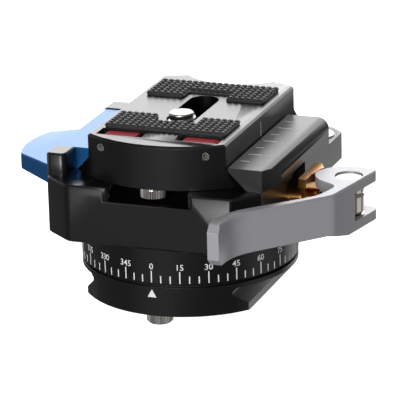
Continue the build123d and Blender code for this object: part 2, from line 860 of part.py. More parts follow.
# The draw rod screws into the body and ends in an eye between the lever's ears.
eye_bottom = fork_bottom + lower_washer
with BuildPart() as draw_rod:
    with BuildSketch(Plane.XY.offset(eye_bottom)):
        with Locations((pin_x, 0)):
            Circle(eye_radius)
    extrude(amount=eye_height)
    fillet(draw_rod.edges(), eye_edge)
    with BuildSketch(Plane.YZ.offset(jaw_seat - rod_thread + 0.1)):
        with Locations((0, rod_z)):
            Circle(rod_radius)
    extrude(amount=pin_x - jaw_seat + rod_thread - 0.1)
    with BuildSketch(Plane.XY.offset(eye_bottom - 1)):
        with Locations((pin_x, 0)):
            Circle(lever_pin_radius + fit_clear)
    extrude(amount=eye_height + 2, mode=Mode.SUBTRACT)
draw_rod.part.label = "draw_rod"
export_step(draw_rod.part, "parts/draw_rod.step")

# The cam's ears follow a spiral, so the jaw moves evenly with the lever.
cam_points = []
for step in range(7):
    turn = cam_swing * step / 6
    reach = cam_radius - cam_travel * turn / cam_swing
    angle = math.radians(180 - turn)
    cam_points.append((pin_x + reach * math.cos(angle), reach * math.sin(angle)))

# Behind the spiral the cam is round for a while, then the head runs to a corner.
# The head's outline is counted in cam radii and the blade's in lever lengths.
cam_low = cam_radius - cam_travel
rest_mid = math.radians(180 - cam_swing - cam_rest / 2)
rest_end = math.radians(180 - cam_swing - cam_rest)
rest_points = [
    (pin_x + cam_low * math.cos(angle), cam_low * math.sin(angle)) for angle in (rest_mid, rest_end)
]
head_corner = (pin_x + 0.714 * cam_radius, 0.903 * cam_radius)
kink = (pin_x + 0.0255 * lever_length, -0.3466 * lever_length)
outer_tip = [
    (pin_x + u * lever_length, v * lever_length)
    for u, v in (
        (-0.272, -0.6833),
        (-0.3483, -0.7819),
        (-0.3775, -0.8549),
        (-0.3885, -0.92),
        (-0.39, -1.0),
    )
]
inner_tip = [
    (pin_x + u * lever_length, v * lever_length)
    for u, v in (
        (-0.4535, -1.0),
        (-0.4535, -0.907),
        (-0.4338, -0.8162),
        (-0.3971, -0.7353),
        (-0.3333, -0.6593),
    )
]
inner_neck = [
    (pin_x + u * lever_length, v * lever_length)
    for u, v in (
        (-0.103, -0.4216),
        (-0.0564, -0.3578),
        (-0.0331, -0.2892),
        (-0.0199, -0.2314),
    )
]
inner_head = [
    (pin_x + u * cam_radius, v * cam_radius)
    for u, v in ((-0.118, -1.04), (-0.243, -0.874), (-0.579, -0.687), (-0.81, -0.47))
]
outer_way = Vector(outer_tip[0][0] - kink[0], outer_tip[0][1] - kink[1]).normalized()
inner_way = Vector(inner_neck[0][0] - inner_tip[-1][0], inner_neck[0][1] - inner_tip[-1][1]).normalized()
with BuildPart() as cam_lever:
    with BuildSketch(Plane.XY.offset(lever_bottom)):
        with BuildLine():
            Spline(*cam_points)
            ThreePointArc(cam_points[-1], rest_points[0], rest_points[1])
            Line(rest_points[1], head_corner)
            Line(head_corner, kink)
            Line(kink, outer_tip[0])
            Spline(*outer_tip, tangents=[outer_way, (0, -1)])
            Line(outer_tip[-1], inner_tip[0])
            Spline(*inner_tip, tangents=[(0, 1), inner_way])
            Line(inner_tip[-1], inner_neck[0])
            Spline(*inner_neck)
            ThreePointArc(inner_neck[-1], inner_head[0], inner_head[1])
            Line(inner_head[1], inner_head[2])
            ThreePointArc(inner_head[2], inner_head[3], cam_points[0])
        make_face()
        for (corner_x, corner_y), corner_round in ((kink, kink_round),):
            corner = vertices().filter_by(
                lambda v: abs(v.X - corner_x) < 0.01 and abs(v.Y - corner_y) < 0.01
            )
            fillet(corner, corner_round)
    extrude(amount=lever_height)
    top_rims = cam_lever.edges().group_by(Axis.Z)[-1]
    chamfer(top_rims.sort_by_distance((*kink, lever_top))[0], lever_top_edge)
    head_edge = cam_lever.edges().filter_by(Axis.Z).sort_by_distance((*head_corner, lever_bottom))[0]
    fillet(head_edge, head_round)
    with BuildSketch(Plane.XY.offset(fork_bottom)):
        with Locations((pin_x, -fork_floor)):
            Rectangle(4 * cam_radius, 3 * cam_radius, align=(Align.CENTER, Align.MIN))
    extrude(amount=fork_top - fork_bottom, mode=Mode.SUBTRACT)
    with BuildSketch(Plane.XY.offset(lever_bottom - 1)):
        with Locations((pin_x, 0)):
            Circle(lever_pin_radius + fit_clear)
    extrude(amount=lever_height + 2, mode=Mode.SUBTRACT)
    with BuildSketch(Plane.XY.offset(lever_top)):
        with Locations((pin_x, 0)):
            Circle(lever_pin_head + slide_clear)
    extrude(amount=-lever_pin_sink - lever_pin_head_height, mode=Mode.SUBTRACT)
    # The blade is shallower than the head, and its end is bevelled above and below
    blade_bottom = lever_bottom + lever_blade_rise
    bevel_start = lever_tip_edge - lever_length
    past_end = -lever_length - 1
    with BuildSketch(Plane.YZ):
        with BuildLine():
            Polyline(
                (-1.04 * cam_radius, lever_bottom - 1),
                (-1.04 * cam_radius, lever_bottom),
                (-2 * cam_radius, blade_bottom),
                (bevel_start, blade_bottom),
                (past_end, blade_bottom + lever_tip_edge + 1),
                (past_end, lever_bottom - 1),
                close=True,
            )
        make_face()
        with BuildLine():
            Polyline(
                (bevel_start, lever_top),
                (past_end, lever_top - lever_tip_edge - 1),
                (past_end, lever_top + 1),
                (bevel_start, lever_top + 1),
                close=True,
            )
        make_face()
    extrude(amount=2 * pin_x, mode=Mode.SUBTRACT)
cam_lever.part.label = "cam_lever"
export_step(cam_lever.part, "parts/cam_lever.step")

pin_head_top = lever_top - lever_pin_sink
with BuildPart() as lever_pin:
    with BuildSketch(Plane.XY.offset(lever_bottom + 0.2)):
        with Locations((pin_x, 0)):
            Circle(lever_pin_radius)
    extrude(amount=pin_head_top - lever_bottom - 0.2)
    with BuildSketch(Plane.XY.offset(pin_head_top)):
        with Locations((pin_x, 0)):
            Circle(lever_pin_head)
    extrude(amount=-lever_pin_head_height)
    chamfer(lever_pin.edges().group_by(Axis.Z)[-1], 0.15)
lever_pin.part.label = "lever_pin"
export_step(lever_pin.part, "parts/lever_pin.step")

with BuildPart() as eye_washers:
    with BuildSketch(Plane.XY.offset(fork_bottom + fit_clear / 2)):
        with Locations((pin_x, 0)):
            Circle(eye_radius)
            Circle(lever_pin_radius + fit_clear, mode=Mode.SUBTRACT)
    extrude(amount=eye_bottom - fork_bottom - fit_clear)
    with BuildSketch(Plane.XY.offset(eye_bottom + eye_height + fit_clear / 2)):
        with Locations((pin_x, 0)):
            Circle(eye_radius)
            Circle(lever_pin_radius + fit_clear, mode=Mode.SUBTRACT)
    extrude(amount=fork_top - eye_bottom - eye_height - fit_clear)
eye_washers.part.label = "eye_washers"
export_step(eye_washers.part, "parts/eye_washers.step")

# The brass saddle passes the cam's push to the sliding jaw.
saddle_x = collar_seat + collar_length
saddle_face = pin_x - cam_radius - saddle_clear
seat_radius = cam_radius + saddle_clear
seat_end_y = 3.6
seat_end_x = pin_x - math.sqrt(seat_radius**2 - seat_end_y**2)
with BuildPart() as cam_saddle:
    with BuildSketch(Plane.XY.offset(lever_bottom)):
        with BuildLine():
            Polyline(
                (saddle_face, 0),
                (saddle_x - 0.05 + saddle_front_width, -1.6),
                (saddle_x - 0.05 + saddle_front_width, -saddle_front),
                (saddle_x - 0.05, -saddle_front),
                (saddle_x - 0.05, saddle_back),
                (saddle_x + 1.5, saddle_back),
                (seat_end_x, seat_end_y),
            )
            ThreePointArc(
                (seat_end_x, seat_end_y),
                (
                    pin_x - math.sqrt(seat_radius**2 - (seat_end_y / 2) ** 2),
                    seat_end_y / 2,
                ),
                (saddle_face, 0),
            )
        make_face()
    extrude(amount=lever_height)
    with BuildSketch(Plane.XY.offset(lever_bottom + saddle_wing)):
        with Locations((saddle_x + 0.75, -saddle_front - 1)):
            Rectangle(10, 20, align=(Align.MIN, Align.MIN))
        with Locations((saddle_x - 1, -saddle_front - 1)):
            Rectangle(10, saddle_front - 1.9, align=(Align.MIN, Align.MIN))
    extrude(amount=lever_height - 2 * saddle_wing, mode=Mode.SUBTRACT)
    with BuildSketch(Plane.YZ.offset(collar_seat)):
        with Locations((0, rod_z)):
            Circle(collar_radius)
    extrude(amount=collar_length)
    with BuildSketch(Plane.YZ.offset(collar_seat)):
        with Locations((0, rod_z)):
            Circle(hub_radius)
    extrude(amount=hub_length)
    fillet(cam_saddle.edges().group_by(Axis.X)[-1], 0.45)
    with BuildSketch(Plane.YZ.offset(collar_seat - 1)):
        with Locations((0, rod_z)):
            Circle(rod_radius + slide_clear)
    extrude(amount=hub_length + 2, mode=Mode.SUBTRACT)
cam_saddle.part.label = "cam_saddle"
export_step(cam_saddle.part, "parts/cam_saddle.step")

# The plate: its outline crossed with the dovetail profile
slot_back = -screw_slot_front + screw_travel
with BuildPart() as camera_plate:
    with BuildSketch(Plane.XZ.offset(2 * body_half_depth)):
        with BuildLine():
            Polyline(
                (0, plate_bottom),
                (plate_lip_half - plate_edge, plate_bottom),
                (plate_lip_half, plate_bottom + plate_edge),
                (plate_lip_half, plate_bottom + plate_lip_height),
                (plate_top_half, slope_sum - plate_top_half),
                (plate_top_half, plate_top - plate_edge),
                (plate_top_half - plate_edge, plate_top),
                (0, plate_top),
                close=True,
            )
        make_face()
        mirror(about=Plane.YZ)
    extrude(amount=-4 * body_half_depth)
    side_front = plate_nose_centre - math.sqrt(plate_nose_radius**2 - plate_lip_half**2)
    with BuildSketch(Plane.XY.offset(plate_bottom)):
        with BuildLine():
            ThreePointArc(
                (-plate_lip_half, side_front),
                (0, plate_nose_centre - plate_nose_radius),
                (plate_lip_half, side_front),
            )
            Polyline(
                (plate_lip_half, side_front),
                (plate_lip_half, plate_side_back),
                (plate_corner_x, plate_corner_y),
                (plate_horn_x, plate_horn_y),
            )
            ThreePointArc(
                (plate_horn_x, plate_horn_y),
                (0, plate_tail_y),
                (-plate_horn_x, plate_horn_y),
            )
            Polyline(
                (-plate_horn_x, plate_horn_y),
                (-plate_corner_x, plate_corner_y),
                (-plate_lip_half, plate_side_back),
                (-plate_lip_half, side_front),
            )
        make_face()
    extrude(amount=plate_height, mode=Mode.INTERSECT)
    chamfer(
        camera_plate.edges().group_by(Axis.Z)[-1].filter_by(Axis.Y, reverse=True),
        plate_edge,
    )

    # Slot for the camera screw, with head room below
    with BuildSketch(Plane.XY.offset(plate_bottom)):
        with Locations((0, (slot_back - screw_slot_front) / 2)):
            SlotCenterToCenter(screw_travel, 2 * (screw_radius + screw_slot_clear), rotation=90)
    extrude(amount=plate_height, mode=Mode.SUBTRACT)
    with BuildSketch(Plane.XY.offset(plate_bottom)):
        with Locations((0, (slot_back - screw_slot_front) / 2)):
            SlotCenterToCenter(screw_travel, 2 * (screw_head_radius + head_room_clear), rotation=90)
    extrude(amount=head_room_depth, mode=Mode.SUBTRACT)

    # Pockets for the fold-up stops
    pocket_outer = flap_pin_x + flap_radius + flap_pocket_gap
    pocket_inner = flap_pin_x - flap_reach - flap_finger_room
    pocket_mid_y = -flap_front + flap_width / 2
    with BuildSketch(Plane.XY.offset(plate_top)):
        with Locations(
            ((pocket_outer + pocket_inner) / 2, pocket_mid_y),
            (-(pocket_outer + pocket_inner) / 2, pocket_mid_y),
        ):
            Rectangle(pocket_outer - pocket_inner, flap_width + 2 * flap_pocket_gap)
    extrude(
        amount=-(flap_pin_drop + flap_radius + flap_pocket_gap),
        mode=Mode.SUBTRACT,
    )
    with BuildSketch(Plane.XZ.offset(body_half_depth)):
        with Locations((-flap_pin_x, flap_pin_z), (flap_pin_x, flap_pin_z)):
            Circle(flap_pin_radius + fit_clear)
    extrude(amount=-(body_half_depth - flap_pin_end + slide_clear), mode=Mode.SUBTRACT)

    # Holes for the stop screws
    with BuildSketch(Plane.XY.offset(plate_bottom)):
        with Locations((0, -plate_stop_y), (0, plate_stop_y)):
            Circle(stop_shank_radius + fit_clear)
    extrude(amount=plate_stop_shank + fit_clear, mode=Mode.SUBTRACT)
camera_plate.part.label = "camera_plate"
export_step(camera_plate.part, "parts/camera_plate.step")

with BuildPart() as plate_stop_screws:
    with BuildSketch(Plane.XY.offset(plate_bottom - plate_stop_head_height)):
        with Locations((0, -plate_stop_y), (0, plate_stop_y)):
            Circle(stop_head_radius)
    extrude(amount=plate_stop_head_height)
    chamfer(plate_stop_screws.edges().group_by(Axis.Z)[0], 0.3)
    with BuildSketch(Plane.XY.offset(plate_bottom - plate_stop_head_height)):
        with Locations((0, -plate_stop_y), (0, plate_stop_y)):
            RegularPolygon(1.25, 6, major_radius=False)
    extrude(amount=1.3, mode=Mode.SUBTRACT)
    with BuildSketch(Plane.XY.offset(plate_bottom)):
        with Locations((0, -plate_stop_y), (0, plate_stop_y)):
            Circle(stop_shank_radius)
    extrude(amount=plate_stop_shank)
plate_stop_screws.part.label = "plate_stop_screws"
export_step(plate_stop_screws.part, "parts/plate_stop_screws.step")

# Rubber pads stand a little above the plate, notched round the slot's ends.
for pad_name, pad_outer_y, pad_inner_y, pad_notch_y in (
    ("front_pad", pad_front, pad_front + front_pad_depth, pad_front + front_pad_depth - notch_depth),
    ("rear_pad", pad_rear, pad_rear - rear_pad_depth, pad_rear - rear_pad_depth + notch_depth),
):
    with BuildPart() as rubber_pad:
        with BuildSketch(Plane.XY.offset(plate_top)):
            with BuildLine():
                Polyline(
                    (-pad_half, pad_outer_y),
                    (pad_half, pad_outer_y),
                    (pad_half, pad_inner_y),
                    (notch_half, pad_inner_y),
                    (notch_half, pad_notch_y),
                    (-notch_half, pad_notch_y),
                    (-notch_half, pad_inner_y),
                    (-pad_half, pad_inner_y),
                    close=True,
                )
            make_face()
            fillet(vertices(), pad_corner)
        extrude(amount=pad_height)
    rubber_pad.part.label = pad_name
    export_step(rubber_pad.part, f"parts/{pad_name}.step")

recess_top = plate_bottom + head_room_depth
# The red stops lie flush and fold up on pins set in from the front edge.
nose_at_pin = math.sqrt(plate_nose_radius**2 - flap_pin_x**2) - plate_nose_centre
with BuildPart() as flap_pins:
    with BuildSketch(Plane.XZ.offset(flap_pin_end)):
        with Locations((-flap_pin_x, flap_pin_z), (flap_pin_x, flap_pin_z)):
            Circle(flap_pin_radius)
    extrude(amount=nose_at_pin - flap_pin_recess - flap_pin_end)
    with BuildSketch(Plane.XZ.offset(nose_at_pin - flap_pin_recess)):
        with Locations((-flap_pin_x, flap_pin_z), (flap_pin_x, flap_pin_z)):
            RegularPolygon(flap_pin_socket, 6, major_radius=False)
    extrude(amount=-2 * flap_pin_socket, mode=Mode.SUBTRACT)
flap_pins.part.label = "flap_pins"
export_step(flap_pins.part, "parts/flap_pins.step")

for side, flap_name in ((-1, "left_stop_flap"), (1, "right_stop_flap")):
    with BuildPart() as stop_flap:
        with BuildSketch(Plane.XZ.offset(flap_front - flap_width)):
            with Locations((side * flap_pin_x, flap_pin_z)):
                Circle(flap_radius)
            with Locations((side * (flap_pin_x - flap_reach / 2), flap_pin_z)):
                Rectangle(flap_reach, 2 * flap_radius)
            with Locations((side * flap_pin_x, flap_pin_z)):
                Circle(flap_pin_radius + fit_clear, mode=Mode.SUBTRACT)
        extrude(amount=flap_width)
    stop_flap.part.label = flap_name
    export_step(stop_flap.part, f"parts/{flap_name}.step")

# A retainer slides along the slot. The camera screw's neck runs in it, and the
# thread's shoulder keeps the screw from falling out. A washer lies on the head.
retainer_bottom = recess_top - fit_clear - retainer_thickness
with BuildPart() as screw_retainer:
    with BuildSketch(Plane.XY.offset(retainer_bottom)):
        with Locations((0, -screw_slot_front)):
            Circle(screw_head_radius)
            Circle(screw_neck_radius + fit_clear, mode=Mode.SUBTRACT)
    extrude(amount=retainer_thickness)
screw_retainer.part.label = "screw_retainer"
export_step(screw_retainer.part, "parts/screw_retainer.step")

washer_rest = retainer_bottom - fit_clear - screw_rise - screw_washer_thickness
with BuildPart() as screw_washer:
    with BuildSketch(Plane.XY.offset(washer_rest)):
        with Locations((0, -screw_slot_front)):
            Circle(screw_washer_radius)
            Circle(screw_neck_radius + fit_clear, mode=Mode.SUBTRACT)
    extrude(amount=screw_washer_thickness)
screw_washer.part.label = "screw_washer"
export_step(screw_washer.part, "parts/screw_washer.step")

head_top = washer_rest - fit_clear
with BuildPart() as camera_screw:
    with BuildSketch(Plane.XY.offset(head_top - screw_head_height)):
        with Locations((0, -screw_slot_front)):
            Circle(screw_head_radius)
    extrude(amount=screw_head_height)
    with BuildSketch(Plane.XY.offset(head_top - screw_head_height)):
        with Locations((0, -screw_slot_front)):
            Rectangle(2 * screw_head_radius, coin_slot_width)
    extrude(amount=coin_slot_depth, mode=Mode.SUBTRACT)
    with BuildSketch(Plane.XY.offset(head_top)):
        with Locations((0, -screw_slot_front)):
            Circle(screw_neck_radius)
    extrude(amount=recess_top - head_top)
    with BuildSketch(Plane.XY.offset(recess_top)):
        with Locations((0, -screw_slot_front)):
            Circle(screw_radius)
    extrude(amount=plate_top + screw_stand - recess_top)
    chamfer(camera_screw.edges().group_by(Axis.Z)[-1], 0.6)
camera_screw.part.label = "camera_screw"
export_step(camera_screw.part, "parts/camera_screw.step")

# Pan lock: a fluted knob on a screw that presses a brass tip on the drum.
knob_front = body_half_depth + lock_knob_gap
with BuildPart() as lock_knob:
    with BuildSketch(Plane.XZ.offset(-knob_front)):
        with Locations((0, lock_height)):
            Circle(lock_knob_radius)
    extrude(amount=-lock_knob_length)
    chamfer(lock_knob.edges(), 0.6)
    with BuildSketch(Plane.XZ.offset(-knob_front)):
        with Locations((0, lock_height)):
            with PolarLocations(lock_knob_radius + 0.2, lock_knob_grooves):
                Circle(lock_knob_groove_radius)
    extrude(amount=-lock_knob_length, mode=Mode.SUBTRACT)
    with BuildSketch(Plane.XZ.offset(-body_half_depth - 0.2)):
        with Locations((0, lock_height)):
            Circle(lock_collar_radius)
    extrude(amount=-lock_knob_gap)
    with BuildSketch(Plane.XZ.offset(-body_half_depth)):
        with Locations((0, lock_height)):
            Circle(lock_screw_radius + fit_clear)
    extrude(amount=-(lock_knob_gap + lock_knob_depth), mode=Mode.SUBTRACT)
lock_knob.part.label = "lock_knob"
export_step(lock_knob.part, "parts/lock_knob.step")

tip_back = drum_radius + lock_tip_gap + lock_tip_length
with BuildPart() as lock_screw:
    with BuildSketch(Plane.XZ.offset(-tip_back - 0.05)):
        with Locations((0, lock_height)):
            Circle(lock_screw_radius)
    extrude(amount=-(knob_front + lock_knob_depth - 0.3 - tip_back))
    chamfer(lock_screw.edges().group_by(Axis.Y)[0], 0.3)
lock_screw.part.label = "lock_screw"
export_step(lock_screw.part, "parts/lock_screw.step")

with BuildPart() as lock_tip:
    with BuildSketch(Plane.XZ.offset(-tip_back)):
        with Locations((0, lock_height)):
            Circle(lock_tip_radius)
    extrude(amount=lock_tip_length)
    chamfer(lock_tip.edges().group_by(Axis.Y)[0], 0.5)
lock_tip.part.label = "lock_tip"
export_step(lock_tip.part, "parts/lock_tip.step")
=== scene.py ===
import math

import bmesh
import bpy
from mathutils import Matrix, Vector


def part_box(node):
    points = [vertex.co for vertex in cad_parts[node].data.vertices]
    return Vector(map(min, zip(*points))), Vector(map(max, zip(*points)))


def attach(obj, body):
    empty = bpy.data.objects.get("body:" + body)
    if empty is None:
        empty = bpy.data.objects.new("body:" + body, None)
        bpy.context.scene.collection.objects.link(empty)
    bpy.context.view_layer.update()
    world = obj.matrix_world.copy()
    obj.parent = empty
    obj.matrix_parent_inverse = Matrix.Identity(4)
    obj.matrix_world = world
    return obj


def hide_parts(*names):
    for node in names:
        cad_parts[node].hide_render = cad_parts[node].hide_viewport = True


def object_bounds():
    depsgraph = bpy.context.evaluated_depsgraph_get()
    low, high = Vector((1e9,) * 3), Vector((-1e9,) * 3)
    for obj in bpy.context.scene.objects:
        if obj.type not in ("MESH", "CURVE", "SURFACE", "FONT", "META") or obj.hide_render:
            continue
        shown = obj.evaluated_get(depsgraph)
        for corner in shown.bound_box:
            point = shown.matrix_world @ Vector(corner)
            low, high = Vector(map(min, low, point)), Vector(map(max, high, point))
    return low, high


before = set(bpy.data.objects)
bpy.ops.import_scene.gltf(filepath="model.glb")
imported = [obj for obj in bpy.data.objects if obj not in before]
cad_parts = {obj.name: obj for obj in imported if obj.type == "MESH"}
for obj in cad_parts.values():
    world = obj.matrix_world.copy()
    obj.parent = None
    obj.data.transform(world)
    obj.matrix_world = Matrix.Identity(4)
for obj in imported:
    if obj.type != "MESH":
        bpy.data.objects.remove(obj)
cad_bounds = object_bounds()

# Camera
# A long lens a little above the clamp, turned towards the lever side as in the photo.
azimuth = math.radians(20.72)
elevation = math.radians(18.65)
roll = math.radians(-1.59)
aim = Vector((0.00263, 0.0, 0.01929))
sensor_width = 36.0
lens_length = 279.7
camera_distance = 0.7
back = Vector((
    math.sin(azimuth) * math.cos(elevation),
    -math.cos(azimuth) * math.cos(elevation),
    math.sin(elevation),
))
level_right = Vector((math.cos(azimuth), math.sin(azimuth), 0.0))
level_up = back.cross(level_right)
right = math.cos(roll) * level_right + math.sin(roll) * level_up
up = math.cos(roll) * level_up - math.sin(roll) * level_right
camera = bpy.data.objects.new("camera", bpy.data.cameras.new("camera"))
camera.data.sensor_width = sensor_width
camera.data.lens = lens_length
camera.data.clip_start = 0.01
place = Matrix((right, up, back)).transposed().to_4x4()
place.translation = aim + camera_distance * back
camera.matrix_world = place
bpy.context.scene.collection.objects.link(camera)
bpy.context.scene.camera = camera

# Studio
# A dim room with a white card behind and a low key light in front, which whitens the lever and
# the marks. Low cards stand for the lit table, which the upright faces reflect. The paper floor
# itself is left out of the reflections, so that the black faces stay deep.


def linear(hex_colour):
    parts = [int(hex_colour[i:i + 2], 16) / 255 for i in (1, 3, 5)]
    return tuple(c / 12.92 if c <= 0.04045 else ((c + 0.055) / 1.055) ** 2.4 for c in parts) + (1.0,)


world = bpy.data.worlds.new("dim_studio")
world.use_nodes = True
world.node_tree.nodes["Background"].inputs["Color"].default_value = linear("#ffffff")
world.node_tree.nodes["Background"].inputs["Strength"].default_value = 0.16
bpy.context.scene.world = world
bpy.context.scene.view_settings.view_transform = "Standard"


def soft_box(name, place, target, width, height, radiance):
    # The power is worked out from the brightness wanted on the box's face.
    lamp = bpy.data.lights.new(name, "AREA")
    lamp.shape = "RECTANGLE"
    lamp.size = width
    lamp.size_y = height
    lamp.energy = radiance * math.pi * width * height
    holder = bpy.data.objects.new(name, lamp)
    aim_line = Vector(target) - Vector(place)
    turn = aim_line.to_track_quat("-Z", "Y").to_matrix().to_4x4()
    turn.translation = Vector(place)
    holder.matrix_world = turn
    bpy.context.scene.collection.objects.link(holder)


soft_box("back_card", (-0.30, 0.78, 0.28), (0, 0, 0.04), 1.40, 0.56, 3.8)
soft_box("top_soft_box", (0.0, -0.05, 0.60), (0, 0, 0.03), 0.60, 0.50, 0.3)
soft_box("front_key_light", (0.0, -0.74, 0.20), (0, 0, 0.02), 0.40, 0.25, 15.0)
soft_box("left_soft_box", (-0.60, -0.10, 0.16), (0, 0, 0.02), 0.20, 0.30, 1.6)
soft_box("right_low_card", (0.70, 0.10, -0.24), (0, 0, 0.02), 0.50, 0.30, 0.45)
soft_box("back_low_card", (0.30, 0.72, -0.28), (0, 0, 0.02), 0.50, 0.30, 0.8)
soft_box("front_low_card", (-0.25, -0.75, -0.28), (0, 0, 0.02), 0.60, 0.30, 0.25)

floor_mesh = bpy.data.meshes.new("floor")
floor = bpy.data.objects.new("floor", floor_mesh)
floor_shape = bmesh.new()
bmesh.ops.create_grid(floor_shape, x_segments=1, y_segments=1, size=3.0)
bmesh.ops.translate(floor_shape, verts=floor_shape.verts, vec=(0, 0, cad_bounds[0][2] - 0.0002))
floor_shape.to_mesh(floor_mesh)
floor_shape.free()
bpy.context.scene.collection.objects.link(floor)
floor.visible_glossy = False
floor.visible_diffuse = False
floor.visible_shadow = False
paper = bpy.data.materials.new("white_paper")
paper.use_nodes = True
paper_shader = paper.node_tree.nodes["Principled BSDF"]
paper_shader.inputs["Base Color"].default_value = linear("#ffffff")
paper_shader.inputs["Roughness"].default_value = 0.9
paper_shader.inputs["Emission Color"].default_value = linear("#ffffff")
paper_shader.inputs["Emission Strength"].default_value = 1.0
floor_mesh.materials.append(paper)


# Pan base
# The foot that sits on a tripod or in a dovetail clamp. It is aluminium, turned and then milled to
# a dovetail on both sides, bead-blasted and anodised black.
mm = 0.001


def add_node(tree, kind, settings=None, links=None, **attributes):
    made = tree.nodes.new(kind)
    for key, value in attributes.items():
        setattr(made, key, value)
    for key, value in (settings or {}).items():
        made.inputs[key].default_value = value
    for key, source in (links or {}).items():
        tree.links.new(source, made.inputs[key])
    return made


def anodised(name, colour, roughness, metal=0.0, grain=0.12):
    # A dyed oxide film on bead-blasted aluminium is an even satin with a very fine grain.
    # The bevel node rounds the broken edges, which are a tenth of a millimetre or so.
    made = bpy.data.materials.new(name)
    made.use_nodes = True
    tree = made.node_tree
    shader = tree.nodes["Principled BSDF"]
    shader.inputs["Base Color"].default_value = linear(colour)
    shader.inputs["Metallic"].default_value = metal
    shader.inputs["IOR"].default_value = 1.48
    on_piece = add_node(tree, "ShaderNodeTexCoord").outputs["Object"]
    blast = add_node(tree, "ShaderNodeTexNoise", {"Scale": 5000.0, "Detail": 2.0}, {"Vector": on_piece})
    satin = add_node(
        tree, "ShaderNodeMapRange",
        {"To Min": roughness - 0.05, "To Max": roughness + 0.05}, {"Value": blast.outputs["Fac"]},
    )
    broken_edge = add_node(tree, "ShaderNodeBevel", {"Radius": 0.15 * mm}, samples=4)
    relief = add_node(
        tree, "ShaderNodeBump", {"Strength": grain, "Distance": 0.02 * mm},
        {"Height": blast.outputs["Fac"], "Normal": broken_edge.outputs["Normal"]},
    )
    tree.links.new(satin.outputs["Result"], shader.inputs["Roughness"])
    tree.links.new(relief.outputs["Normal"], shader.inputs["Normal"])
    return made


def joined_copy(node_name):
    # The CAD triangles joined into whole faces, ready for smooth shading.
    shape = bmesh.new()
    shape.from_mesh(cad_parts[node_name].data)
    bmesh.ops.remove_doubles(shape, verts=shape.verts, dist=1e-7)
    bmesh.ops.dissolve_limit(shape, angle_limit=math.radians(0.4), verts=shape.verts, edges=shape.edges)
    return shape


def placed(name, shape, material, body, stands_for=None, smooth_below=28.0):
    mesh = bpy.data.meshes.new(name)
    shape.to_mesh(mesh)
    shape.free()
    mesh.materials.append(material)
    mesh.shade_smooth()
    mesh.set_sharp_from_angle(angle=math.radians(smooth_below))
    piece = bpy.data.objects.new(name, mesh)
    bpy.context.scene.collection.objects.link(piece)
    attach(piece, body)
    if stands_for:
        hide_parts(stands_for)
    return piece


def dressed(node_name, material, body):
    return placed(node_name + "_skin", joined_copy(node_name), material, body, node_name)


black_film = anodised("black_anodised_aluminium", "#08080a", 0.3)
dressed("pan_base", black_film, "base")

# Index mark on the foot
# A small triangle in white paint under the dial's zero, printed on the foot's rim.
white_paint = bpy.data.materials.new("white_paint")
white_paint.use_nodes = True
paint_shader = white_paint.node_tree.nodes["Principled BSDF"]
paint_shader.inputs["Base Color"].default_value = linear("#e9e9e7")
paint_shader.inputs["Roughness"].default_value = 0.55
rim_radius = 24.5 * mm
print_stand = 0.025 * mm
mark_shape = bmesh.new()
corners = [
    mark_shape.verts.new((x * mm, -rim_radius - print_stand, z * mm))
    for x, z in ((-1.05, 4.45), (1.05, 4.45), (0, 6.3))
]
mark_face = mark_shape.faces.new(corners)
mark_side = bmesh.ops.extrude_face_region(mark_shape, geom=[mark_face])
bmesh.ops.translate(
    mark_shape, verts=[v for v in mark_side["geom"] if isinstance(v, bmesh.types.BMVert)],
    vec=(0, 2 * print_stand, 0),
)
bmesh.ops.recalc_face_normals(mark_shape, faces=mark_shape.faces)
placed("foot_index_mark", mark_shape, white_paint, "base")


# Stop screws under the foot
# Two M3 screws keep the foot from sliding out of a clamp. Their heads are nickel-plated steel with
# straight knurls and a hex socket.
def bare_metal(name, colour, roughness, brushed=0.0):
    made = bpy.data.materials.new(name)
    made.use_nodes = True
    tree = made.node_tree
    shader = tree.nodes["Principled BSDF"]
    shader.inputs["Base Color"].default_value = linear(colour)
    shader.inputs["Metallic"].default_value = 1.0
    shader.inputs["Roughness"].default_value = roughness
    broken_edge = add_node(tree, "ShaderNodeBevel", {"Radius": 0.1 * mm}, samples=4)
    normal = broken_edge.outputs["Normal"]
    if brushed:
        on_piece = add_node(tree, "ShaderNodeTexCoord").outputs["Object"]
        tool_marks = add_node(
            tree, "ShaderNodeTexNoise", {"Scale": 2500.0, "Detail": 2.0}, {"Vector": on_piece},
        )
        normal = add_node(
            tree, "ShaderNodeBump", {"Strength": brushed, "Distance": 0.03 * mm},
            {"Height": tool_marks.outputs["Fac"], "Normal": normal},
        ).outputs["Normal"]
    tree.links.new(normal, shader.inputs["Normal"])
    return made


nickel = bare_metal("nickel_plated_steel", "#d8d5d0", 0.2, 0.15)
knurls_round_head = 34
knurl_reach = 2.74
knurl_width = 0.3


def knurled_heads(name, centres, low, high, body):
    # Each knurl is a narrow ridge along the head's side.
    shape = bmesh.new()
    for centre_y in centres:
        for step in range(knurls_round_head):
            turn = Matrix.Rotation(math.tau * step / knurls_round_head, 4, "Z")
            seat = Matrix.Translation((0, centre_y * mm, (low + high) / 2 * mm))
            out = Matrix.Translation((knurl_reach * mm, 0, 0)) @ Matrix.Rotation(math.radians(45), 4, "Z")
            size = Matrix.Diagonal((knurl_width * mm, knurl_width * mm, (high - low) * mm, 1))
            bmesh.ops.create_cube(shape, size=1.0, matrix=seat @ turn @ out @ size)
    placed(name, shape, nickel, body)


dressed("base_stop_screws", nickel, "base")
knurled_heads("base_stop_knurls", (-20.0, 20.0), -2.35, -0.35, "base")

# Spindle and its screws
# A turned steel spindle carries the tripod thread and the pan bearing. Three countersunk screws
# with a black oxide finish hold it to the foot.
steel = bare_metal("turned_stainless_steel", "#c4c2bd", 0.26, 0.1)
oxide_steel = anodised("black_oxide_steel", "#1a1a1c", 0.3, 0.6, 0.05)
dressed("pan_spindle", steel, "base")
dressed("spindle_screws", oxide_steel, "base")

